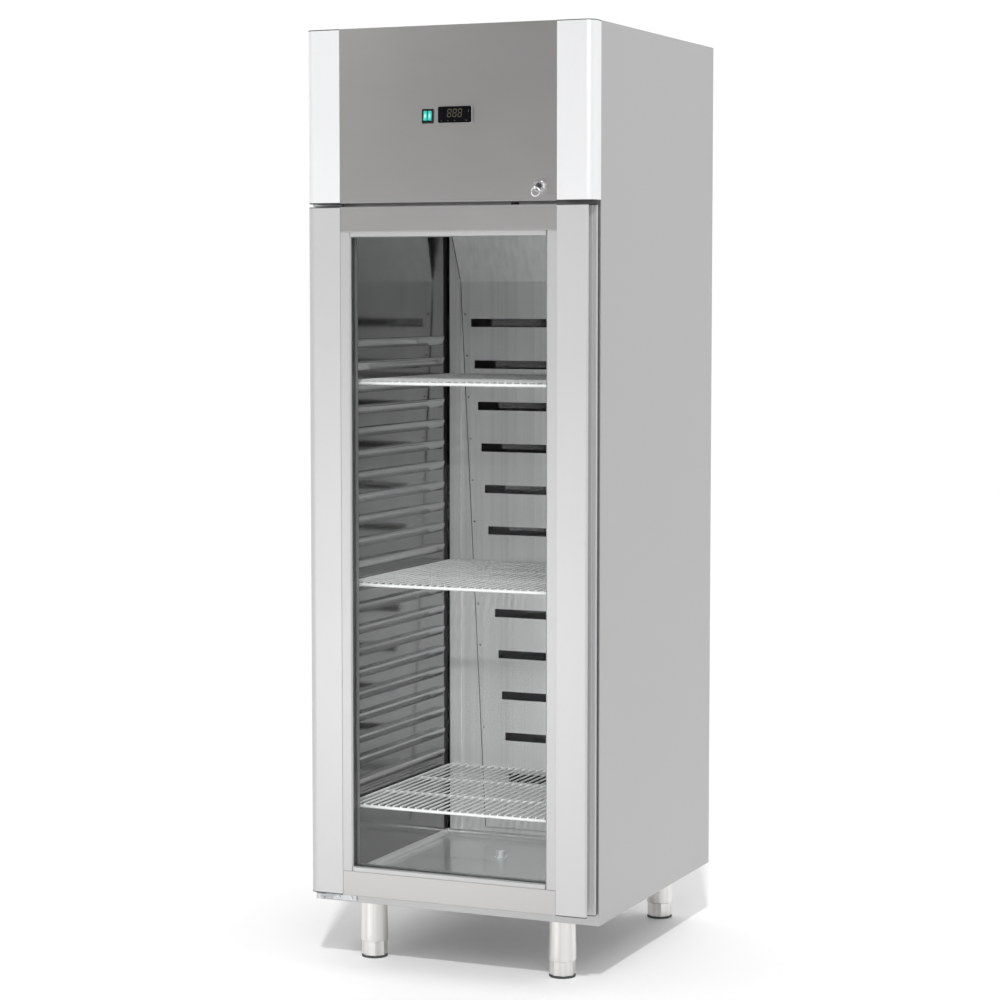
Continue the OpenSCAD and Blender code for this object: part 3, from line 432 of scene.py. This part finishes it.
def lathe(name, profile, centre, steps=72):
    """Mesh turned about a vertical axis through centre from a closed list of (radius, height)."""
    mesh = bmesh.new()
    rings = []
    for i in range(steps):
        a = 2 * math.pi * i / steps
        rings.append([
            mesh.verts.new((centre[0] + r * math.cos(a), centre[1] + r * math.sin(a), centre[2] + h))
            for r, h in profile
        ])
    count = len(profile)
    for i in range(steps):
        here, there = rings[i], rings[(i + 1) % steps]
        for j in range(count):
            k = (j + 1) % count
            mesh.faces.new((here[j], there[j], there[k], here[k]))
    return finished(name, mesh, smooth=True)


def prism(mesh, outline, front, depth):
    """Adds an upright prism to a bmesh: the outline's (x, z) points, from y = front back by depth."""
    near = [mesh.verts.new((x, front, z)) for x, z in outline]
    far = [mesh.verts.new((x, front + depth, z)) for x, z in outline]
    mesh.faces.new(near)
    mesh.faces.new(far[::-1])
    for i in range(len(outline)):
        j = (i + 1) % len(outline)
        mesh.faces.new((near[j], near[i], far[i], far[j]))


def sweep(mesh, points, radius, sides=10, closed=False):
    """Adds a round wire along points; an open wire gets rounded ends."""
    stations = [(Vector(p), radius) for p in points]
    if not closed:
        for end, towards in ((0, 1), (-1, -2)):
            tip, inner = Vector(points[end]), Vector(points[towards])
            out = (tip - inner).normalized()
            turns = [math.radians(a) for a in (30, 60, 82)]
            cap = [(tip - out * radius * (1 - math.sin(a)), radius * math.cos(a)) for a in turns]
            start = (tip - out * radius, radius)
            if end == 0:
                stations = cap[::-1] + [start] + stations[1:]
            else:
                stations = stations[:-1] + [start] + cap
    count = len(stations)
    rings = []
    for i, (centre, r) in enumerate(stations):
        before = stations[(i - 1) % count if closed else max(i - 1, 0)][0]
        after = stations[(i + 1) % count if closed else min(i + 1, count - 1)][0]
        along = (after - before).normalized()
        across = along.cross(Vector((0, 0, 1))).normalized()
        up = across.cross(along)
        angles = [2 * math.pi * k / sides for k in range(sides)]
        around = [across * math.cos(a) + up * math.sin(a) for a in angles]
        rings.append([mesh.verts.new(centre + outwards * r) for outwards in around])
    for i in range(count if closed else count - 1):
        here, there = rings[i], rings[(i + 1) % count]
        for k in range(sides):
            mesh.faces.new((here[k], here[(k + 1) % sides], there[(k + 1) % sides], there[k]))
    if not closed:
        mesh.faces.new(rings[0])
        mesh.faces.new(rings[-1])


def picture_frame(name, profile, half_x, low, high, front):
    """Mesh of a mitred frame; the profile's points are (in from the outer edge, back from front)."""
    mesh = bmesh.new()
    corners = []
    for side, level in ((-1, low), (1, low), (1, high), (-1, high)):
        inwards = 1 if level == low else -1
        corners.append([
            mesh.verts.new((side * (half_x - u), front + v, level + inwards * u)) for u, v in profile
        ])
    for i in range(4):
        here, there = corners[i], corners[(i + 1) % 4]
        for k in range(len(profile)):
            n = (k + 1) % len(profile)
            mesh.faces.new((here[k], here[n], there[n], there[k]))
    return finished(name, mesh)


def finished(name, mesh, smooth=False):
    """Turns a bmesh into mesh data with its faces looking outwards."""
    bmesh.ops.recalc_face_normals(mesh, faces=mesh.faces)
    data = bpy.data.meshes.new(name)
    mesh.to_mesh(data)
    mesh.free()
    if smooth:
        data.shade_smooth()
    return data


# ---------- pieces ----------


def make_foot_pads(materials):
    """Rubber ring round the bottom of each foot."""
    profile = [
        (26.4, 0.4), (27.6, 0.1), (28.3, 0.5), (28.6, 1.4), (28.6, 4.0), (28.3, 4.9), (27.6, 5.3), (26.4, 5.3)
    ]
    for corner in ("front_left", "front_right", "rear_left", "rear_right"):
        low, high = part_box(f"foot_{corner}")
        centre = ((low.x + high.x) / 2, (low.y + high.y) / 2, low.z)
        mesh = lathe(f"foot_pad_{corner}", [(r * MM, h * MM) for r, h in profile], centre)
        new_piece(f"foot_pad_{corner}", mesh, materials["seal_rubber"], f"foot_{corner}")


def make_door_seal(materials):
    """Magnetic seal round the door: a foot, two folds of the bellows and the flat magnet face."""
    low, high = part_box("door_gasket")
    depth = high.y - low.y
    profile = [
        (1.0, 0.0), (17.0, 0.0), (17.4, 0.12), (14.6, 0.24), (16.6, 0.42), (14.8, 0.58), (16.2, 0.76),
        (15.0, 0.96), (13.6, 1.0), (4.4, 1.0), (3.0, 0.96), (1.8, 0.76), (3.2, 0.58), (1.4, 0.42),
        (3.4, 0.24), (0.6, 0.12),
    ]
    points = [(u * MM, v * depth) for u, v in profile]
    mesh = picture_frame("door_seal", points, high.x, low.z, high.z, low.y)
    seal = new_piece("door_seal", mesh, materials["seal_rubber"], "door")
    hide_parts("door_gasket")


def make_shelf(node, materials):
    """Wire shelf: a bent frame rod, two cross rods under the deck and a row of thin deck wires."""
    low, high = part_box(node)
    frame_r, wire_r, cross_r, bend = 3.5 * MM, 2 * MM, 3.2 * MM, 12 * MM
    pitch, end_gap, side_gap = 17.6 * MM, 1.2 * MM, 12 * MM
    frame_z = low.z + frame_r
    inner = (low.x + frame_r, high.x - frame_r, low.y + frame_r, high.y - frame_r)
    mesh = bmesh.new()
    corner = bend - frame_r
    loop = []
    for cx, cy, start in (
        (inner[1] - corner, inner[3] - corner, 0), (inner[0] + corner, inner[3] - corner, 90),
        (inner[0] + corner, inner[2] + corner, 180), (inner[1] - corner, inner[2] + corner, 270),
    ):
        for step in range(7):
            a = math.radians(start + step * 15)
            loop.append((cx + corner * math.cos(a), cy + corner * math.sin(a), frame_z))
    sweep(mesh, loop, frame_r, sides=16, closed=True)
    for third in (1, 2):
        y = low.y + third * (high.y - low.y) / 3
        sweep(mesh, [(inner[0], y, frame_z), (inner[1], y, frame_z)], cross_r, sides=14)
    count = int((high.x - side_gap) / pitch)
    for k in range(-count, count + 1):
        x, z = k * pitch, high.z - wire_r
        sweep(mesh, [(x, low.y + end_gap, z), (x, high.y - end_gap, z)], wire_r)
    name = f"{node}_wires"
    wires = finished(name, mesh, smooth=True)
    shelf = new_piece(name, wires, materials["shelf_coating"], node)
    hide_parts(node)


def make_rocker(side, materials):
    """Rocker with a hollowed face and rounded corners, on the axle of its joint."""
    node = f"rocker_{side}"
    joint = next(j for j in frame["joints"] if j["child"] == node)
    x, axle_y, z = joint["pos_m"]
    half_w, reach, hollow, half_h = 4.4 * MM, 7.6 * MM, 1.7 * MM, 10.1 * MM
    back, back_middle, back_half_h = 4 * MM, 6 * MM, 9.8 * MM
    tilt = math.radians(-8)
    steps = 8
    rise = [half_h * (1 - 2 * i / steps) for i in range(steps + 1)]
    outline = [(-reach - hollow * (h / half_h) ** 2, h) for h in rise]
    outline += [(back, -back_half_h), (back_middle, 0), (back, back_half_h)]
    cos, sin = math.cos(tilt), math.sin(tilt)
    turned = [(y * cos - h * sin, y * sin + h * cos) for y, h in outline]
    mesh = bmesh.new()
    sides = []
    for across in (-half_w, half_w):
        sides.append([mesh.verts.new((x + across, axle_y + y, z + h)) for y, h in turned])
    mesh.faces.new(sides[0])
    mesh.faces.new(sides[1])
    for i in range(len(outline)):
        j = (i + 1) % len(outline)
        mesh.faces.new((sides[0][i], sides[0][j], sides[1][j], sides[1][i]))
    name = f"rocker_cap_{side}"
    cap = new_piece(name, finished(name, mesh), materials["rocker_green"], node)
    round_edges(cap, 2.8 * MM, 5)
    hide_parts(node)


def round_edges(piece, width, segments=2, angle=35):
    """Rounds the sharp edges of a piece without changing its flat faces."""
    bevel = piece.modifiers.new("edges", "BEVEL")
    bevel.width = width
    bevel.segments = segments
    bevel.limit_method = "ANGLE"
    bevel.angle_limit = math.radians(angle)
    bevel.harden_normals = True


def bar(x, z, length, thick, upright, lean=0.0, foot=0.0):
    """Outline of one display segment, a bar with pointed ends, about its middle; it leans from its foot."""
    a, b = length / 2, thick / 2
    points = [(-a, 0), (-a + b, b), (a - b, b), (a, 0), (a - b, -b), (-a + b, -b)]
    placed = [(x + (q if upright else p), z + (p if upright else q)) for p, q in points]
    return [(px + lean * (pz - foot), pz) for px, pz in placed]


def make_duct_seal_shadow_line(materials):
    """Dark bead along both slanted edges of the air duct's panel: a sealant bead that also serves as painted
    shadow along those edges.
    """
    panel = frame["nodes"]["duct_panel"]
    corners = [panel.matrix_world @ v.co for v in panel.data.vertices]
    low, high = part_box("duct_panel")
    radius, near, gap = 1.5 * MM, 0.5 * MM, 0.4 * MM
    flat = 0.1 * MM
    foot = [c for c in corners if c.z < low.z + near]
    head = [c for c in corners if c.z > high.z - near]
    front = min(c.y for c in foot)
    bend = max(c.z for c in corners if abs(c.y - front) < flat)
    bottom, top = max(c.x for c in foot), max(c.x for c in head)
    middle = bottom + (top - bottom) * (bend - low.z) / (high.z - low.z)
    set_back = front + radius + gap
    lean = min(c.y for c in head) - front
    mesh = bmesh.new()
    for side in (-1, 1):
        path = [(bottom, set_back, low.z), (middle, set_back, bend), (top, set_back + lean, high.z)]
        sweep(mesh, [(side * (x + radius - near), y, z) for x, y, z in path], radius)
    # The black bead draws the shadow line beside the panel's edges as painted shadow.
    seal = finished("duct_seal_shadow_line", mesh, smooth=True)
    new_piece("duct_seal_shadow_line", seal, materials["seal_rubber"], "cabinet")


def make_display(materials):
    """Three unlit seven-segment digits, shown with a faint painted glow, and a few plain marks behind the
    controller's cover.
    """
    low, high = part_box("controller_lens")
    width, height = high.x - low.x, high.z - low.z
    digit_w, digit_h, thick, pitch = 9.2 * MM, 17.6 * MM, 1.9 * MM, 12.1 * MM
    lean = 0.10
    top = high.z - 0.15 * height
    foot, mid = top - digit_h, top - digit_h / 2
    half_w, half_h = (digit_w - thick) / 2, (digit_h - thick) / 2
    flat_bar, upright_bar = digit_w - thick, digit_h / 2 - thick * 0.8
    front, depth = low.y - 0.06 * MM, 0.2 * MM
    mesh = bmesh.new()
    for i in range(3):
        x = low.x + 0.33 * width + i * pitch
        for level in (-1, 0, 1):
            outline = bar(x, mid + level * half_h, flat_bar, thick, False, lean, foot)
            prism(mesh, outline, front, depth)
        for across in (-1, 1):
            for half in (-1, 1):
                place = (x + across * half_w, mid + half * digit_h / 4)
                prism(mesh, bar(*place, upright_bar, thick, True, lean, foot), front, depth)
    mark_z, mark_thick = low.z + 0.13 * height, 1.3 * MM
    for share, length in ((0.10, 3.4), (0.30, 3.4), (0.50, 3.4), (0.85, 6.0)):
        outline = bar(low.x + share * width, mark_z, length * MM, mark_thick, False)
        prism(mesh, outline, front, depth)
    unit_mark = bar(low.x + 0.92 * width, low.z + 0.70 * height, 6.0 * MM, 1.5 * MM, True)
    prism(mesh, unit_mark, front, depth)
    digits = finished("display_segments", mesh)
    segments = display_segment("display_segment")
    new_piece("display_segments", digits, segments, "service_panel")


make_camera()
make_sky(front=0.36, back=1.02)
make_softbox("key", place=(2.6, -4.4, 3.6), aim=(0, 0, 1.0), size=1.8, watts=50)
make_softbox("fill", place=(-3.0, -3.6, 3.0), aim=(0, 0, 1.4), size=1.4, watts=12)
make_softbox("cabin_fill", place=(-1.3, -3.0, 0.25), aim=(0, 0.2, 0.7), size=1.3, watts=15)
make_overhead(strength=1.3, spread=3, lean=40, turn=20)
make_floor()
bpy.context.scene.view_settings.view_transform = "Standard"

materials = make_materials()
dress_cad_nodes(materials, make_special_finishes())
make_foot_pads(materials)
make_door_seal(materials)
make_duct_seal_shadow_line(materials)
make_display(materials)
for side in ("left", "right"):
    make_rocker(side, materials)
for shelf_node in ("shelf_low", "shelf_middle", "shelf_high"):
    make_shelf(shelf_node, materials)
